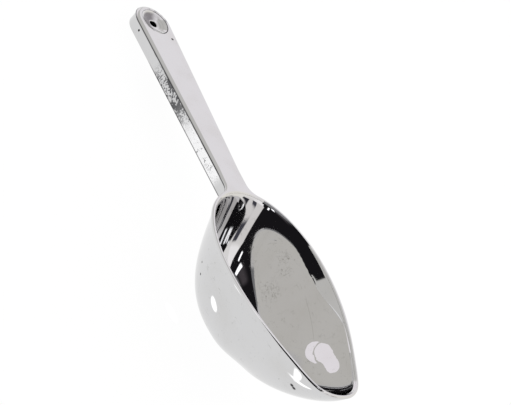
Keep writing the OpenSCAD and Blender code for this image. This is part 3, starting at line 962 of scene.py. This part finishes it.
def tray_plating():
    """Plating that is worn along the side, flaked to the dark plastic, with a painted pale sheen near the
    neck, a painted dark reflection along the lower edge and painted shade in the seam under the plate.
    """
    f = Finish("tray_plating")
    smudge = f.group(SMUDGES, Wave=6.0)
    worn = ramp(f.x, -58, -51) * (1 - ramp(f.x, -40, -28))
    flecks = f.group(FLECKS, Size=0.8, Amount=0.55) * worn
    specks = f.group(FLECKS, Size=0.4, Amount=0.36)
    specks = specks * ramp(f.x, -60, -50) * (1 - ramp(f.x, -14, -4))
    # Painted sheen: the side is lighter towards the neck, in place of a brighter reflection.
    painted_sheen = ramp(f.x + smudge * 6, -38, -24) * (1 - ramp(f.x, -9, -5))
    # Painted dark reflection along the lower edge of the side.
    edge = 1 - ramp(f.z + HANDLE_T / MM, 0.45, 0.8)
    edge = edge * ramp(f.x + smudge * 3, -62, -54) * (1 - ramp(f.x, -3, 0))
    # Painted shade in the seam just under the top plate.
    seam = ramp(f.z + smudge * 0.15, -1.4, -1.1)
    colour = blend(smudge * 0.3, PLATING, TARNISH)
    colour = blend(painted_sheen * 0.9, colour, SHEEN_WHITE)
    colour = blend((flecks * 0.9).at_least(specks), colour, FLAKED)
    f.link(blend((edge * 0.85).at_least(seam * 0.9), colour, DARK_WEAR_AND_SHADE), "Base Color")
    f.shader.inputs["Metallic"].default_value = 1
    f.link(0.04 + smudge * 0.06 + painted_sheen * 0.2 + flecks * 0.25, "Roughness")
    ripple = f.group(RIPPLE, Long_Wave=7.0, Long_Height=0.01, Peel_Wave=1.0, Peel_Height=0.001)
    f.bump(ripple - flecks * 0.02)
    return f.material


def eyelet_plating():
    """Plating in the dish, with painted reflection rings round the hole, painted shade towards the
    handle's end, a bore painted dark as shade and painted shade in the seam on its far side."""
    f = Finish("eyelet_plating")
    smudge = f.group(SMUDGES, Wave=3.0)
    scratches = f.group(SCRATCHES, Spacing=1.2, Amount=0.45)
    ahead = f.x - HOLE_X / MM
    radius = (ahead * ahead + f.y * f.y).root()
    # Painted shade: the dish is darker on its side towards the handle's end.
    side = (ahead * -0.67 - f.y * 0.74) / radius.at_least(0.1)
    dish_shade = ramp(side + (smudge - 0.5) * 0.6, -0.5, 0.6)
    dish_shade = dish_shade * ramp(radius, 1.5, 2.0) * (1 - ramp(radius, 4.2, 5.1))
    # Painted shade: the bore is dark.
    bore = 1 - ramp(radius, 1.41, 1.46)
    # Painted shade in the seam round the dish, on its far side only.
    far = (f.y * 0.95 + ahead * 0.2) / radius.at_least(0.1) + (smudge - 0.5) * 0.3
    seam = ramp(radius, 5.08, 5.2) * ramp(far, -0.1, 0.4)
    # Painted reflection: darker rings round the hole.
    rings = ((radius * 5.2).sin() * 0.5 + 0.5) * (1 - ramp(radius, 3.4, 4.6))
    colour = blend(smudge * 0.3, PLATING, TARNISH)
    colour = blend(rings * 0.35, colour, RING_SHADE)
    colour = blend(dish_shade * 0.85, colour, DISH_SHADE)
    f.link(blend(bore.at_least(seam * 0.9), colour, DARK_WEAR_AND_SHADE), "Base Color")
    f.shader.inputs["Metallic"].default_value = 1
    f.link(0.05 + smudge * 0.08 + scratches * 0.12 + dish_shade * 0.15, "Roughness")
    ripple = f.group(RIPPLE, Long_Wave=3.5, Long_Height=0.02, Peel_Wave=0.8, Peel_Height=0.0006)
    f.bump(ripple - scratches * 0.002)
    return f.material


def bare_pin():
    """A dark pin end, without plating, rough from the cut."""
    f = Finish("bare_pin")
    smudge = f.group(SMUDGES, Wave=0.4)
    f.link(blend(smudge, PIN_DARK, PIN_GREY), "Base Color")
    f.shader.inputs["Specular IOR Level"].default_value = 0.15
    f.link(0.35 + smudge * 0.25, "Roughness")
    f.bump(f.group(RIPPLE, Long_Wave=0.5, Long_Height=0.03, Peel_Wave=0.15, Peel_Height=0.01))
    return f.material


bowl_shell(bowl_plating())
rim_frame(frame_plating())
handle_tray(tray_plating())
hang_eyelet(eyelet_plating())
pins(bare_pin())


# Camera: its axes and its place in the level frame, set down with the scoop

CAMERA_RIGHT = Vector((0.39386, 0.70144, 0.59401))
CAMERA_DOWN = Vector((0.78252, 0.08316, -0.61705))
CAMERA_SPOT = Vector((338.85, -487.71, 359.16)) * MM
CAMERA_LENS, CAMERA_SENSOR = 149.73, 36

camera_data = bpy.data.cameras.new("camera")
camera_data.lens, camera_data.sensor_width = CAMERA_LENS, CAMERA_SENSOR
camera_data.clip_start, camera_data.clip_end = 0.01, 20
camera = bpy.data.objects.new("camera", camera_data)
bpy.context.scene.collection.objects.link(camera)
turn = Matrix((CAMERA_RIGHT, -CAMERA_DOWN, CAMERA_RIGHT.cross(-CAMERA_DOWN))).transposed().to_4x4()
camera.matrix_world = LEVEL_TO_REST @ Matrix.Translation(CAMERA_SPOT) @ turn
bpy.context.scene.camera = camera

# Floor: a white table top that glows evenly, with brighter glowing spots painted on it, which the
# mirror-bright
# bowl shows as highlights: where they lie in mm, how far they reach along and across, and the angle that
# they lie at
TABLE_R, TABLE_STEPS, TABLE_GLOW = 0.6, 96, 0.97
GLOW_SPOTS = [((34.4, -21.5), (3.5, 1.3), 0.32), ((86.1, -35.1), (16, 3.4), 1.84),
                ((90, -21), (13, 2.6), 0.27)]
WHITE, GLOW_SPOT_WHITE, TABLE_GREY = (1, 1, 1, 1), (1.8, 1.8, 1.8, 1), (0.05, 0.05, 0.05, 1)

floor_mesh = bpy.data.meshes.new("floor")
rim = [(*p, 0) for p in circle(0, 0, TABLE_R, TABLE_STEPS)]
floor_mesh.from_pydata(rim, [], [tuple(range(len(rim)))])
floor = bpy.data.objects.new("floor", floor_mesh)
bpy.context.scene.collection.objects.link(floor)
floor_material = bpy.data.materials.new("floor_white")
floor_material.use_nodes = True
shader = floor_material.node_tree.nodes["Principled BSDF"]
shader.inputs["Base Color"].default_value = TABLE_GREY
shader.inputs["Roughness"].default_value = 1
shader.inputs["Specular IOR Level"].default_value = 0
shader.inputs["Emission Strength"].default_value = TABLE_GLOW
tree = floor_material.node_tree
spread, axes = tree.nodes.new("ShaderNodeTexCoord"), tree.nodes.new("ShaderNodeSeparateXYZ")
tree.links.new(spread.outputs["Object"], axes.inputs[0])
glow = WHITE
# Painted light: brighter glowing spots on the floor, which the bowl's outer skin shows as highlights.
for centre, reach, angle in GLOW_SPOTS:
    x, y = (Sum(tree, axes.outputs[k]) / MM - centre[k] for k in range(2))
    along = (x * math.cos(angle) + y * math.sin(angle)) / reach[0]
    across = (y * math.cos(angle) - x * math.sin(angle)) / reach[1]
    spot = 1 - ramp((along * along + across * across).root(), 0.75, 1.05)
    glow = blend(spot, glow, GLOW_SPOT_WHITE)
tree.links.new(glow, shader.inputs["Emission Color"])
floor_mesh.materials.append(floor_material)

# Light: a white tent round the scoop, open towards the camera, with lamps behind its walls. Places
# are azimuth and elevation in degrees, for the tilt that the tent was set up for
STUDIO_TILT = math.radians(13.3)
TENT, WARM, COOL = (1.05, 1.03, 1.02, 1), (1.10, 1.07, 1.01, 1), (1.09, 1.06, 1.09, 1)
CREAM, SHADED, BRIGHT = (0.93, 0.90, 0.89, 1), (0.73, 0.72, 0.70, 1), (1.22, 1.19, 1.2, 1)
LOW_WALL, TOP_GREY = (1.13, 1.08, 1.12, 1), (0.36, 0.36, 0.37, 1)
DARK, DIM = (0.012, 0.011, 0.013, 1), (0.075, 0.065, 0.072, 1)
STAND, LAMP_ARM = (0.07, 0.07, 0.09, 1), (0.03, 0.03, 0.04, 1)
LAMP, OVERHEAD = (2.2, 2.2, 2.25, 1), (1.6, 1.58, 1.6, 1)

world = bpy.data.worlds.new("studio")
bpy.context.scene.world = world
world.use_nodes = True
tree = world.node_tree
towards, turned = tree.nodes.new("ShaderNodeTexCoord"), tree.nodes.new("ShaderNodeVectorRotate")
turned.rotation_type = "Y_AXIS"
turned.inputs["Angle"].default_value = REST_TILT - STUDIO_TILT
tree.links.new(towards.outputs["Generated"], turned.inputs["Vector"])
axes = tree.nodes.new("ShaderNodeSeparateXYZ")
tree.links.new(turned.outputs[0], axes.inputs[0])
ahead, aside, above = (Sum(tree, axes.outputs[k]) for k in range(3))
azimuth = aside.math("ARCTAN2", aside, ahead) * (180 / math.pi)
elevation = above.math("ARCSINE", above) * (180 / math.pi)


def between(value, limits, soft):
    """1 between two limits, with soft edges."""
    low, high = limits
    return ramp(value, low - soft, low + soft) * (1 - ramp(value, high - soft, high + soft))


def patch(az, el, soft, lean=0.0):
    """A soft-edged patch of the tent. lean shifts its azimuth for each degree of elevation."""
    across = azimuth - (elevation - sum(el) / 2) * lean
    return between(across, az, soft) * between(elevation, el, soft)


# The tent's walls
light = blend(ramp(azimuth, 20, 60), TENT, WARM)
light = blend(ramp(azimuth, 104, 120), light, COOL)
behind = ramp(azimuth, 140, 152).at_least(1 - ramp(azimuth, -118, -106)) * (1 - ramp(elevation, 55, 59))
low = ramp(azimuth.math("ABSOLUTE", azimuth), 149, 154) * (1 - ramp(elevation, 11, 15))
light = blend(behind * (1 - low), light, SHADED)
light = blend(low, light, LOW_WALL)
light = blend(patch((-25, 30), (-40, 33), 5), light, CREAM)
light = blend(patch((-40, 12), (34, 58), 2), light, BRIGHT)
overhead = (1 - ramp(azimuth, -148, -140)) * between(elevation, (60.5, 74), 1.5)
light = blend(overhead, light, OVERHEAD)

# Its opening, whose edges lean with the elevation, and its grey top
left = 0.33 * elevation + 1.2 - (elevation - 30).at_least(0) * 0.8
right = (elevation - 30).at_least(0) * 0.6
opening = ramp(azimuth + left, -118, -116.8) * (1 - ramp(azimuth - right, -19.1, -17.9))
light = blend(opening, light, DARK)
top = (opening * ramp(elevation, 60, 67)).at_least(ramp(elevation, 75, 79))
light = blend(top, light, TOP_GREY)

# What stands in and beside the opening
for place, colour in ((patch((-74, -42), (42, 58), 6), DIM),
                      (patch((-42, -33), (43, 61), 1.5, 0.3), LAMP),
                      (patch((-29, -25.5), (34.5, 44), 0.8), LAMP),
                      (patch((-1, 10), (21, 31), 1.2, 0.5), STAND),
                      (patch((19, 37), (16, 25), 1.5), LAMP_ARM)):
    light = blend(place, light, colour)
seen = Sum(tree, tree.nodes.new("ShaderNodeLightPath").outputs["Is Camera Ray"])
tree.links.new(blend(seen, light, WHITE), tree.nodes["Background"].inputs["Color"])
tree.nodes["Background"].inputs["Strength"].default_value = 1
bpy.context.scene.view_settings.view_transform = "Standard"
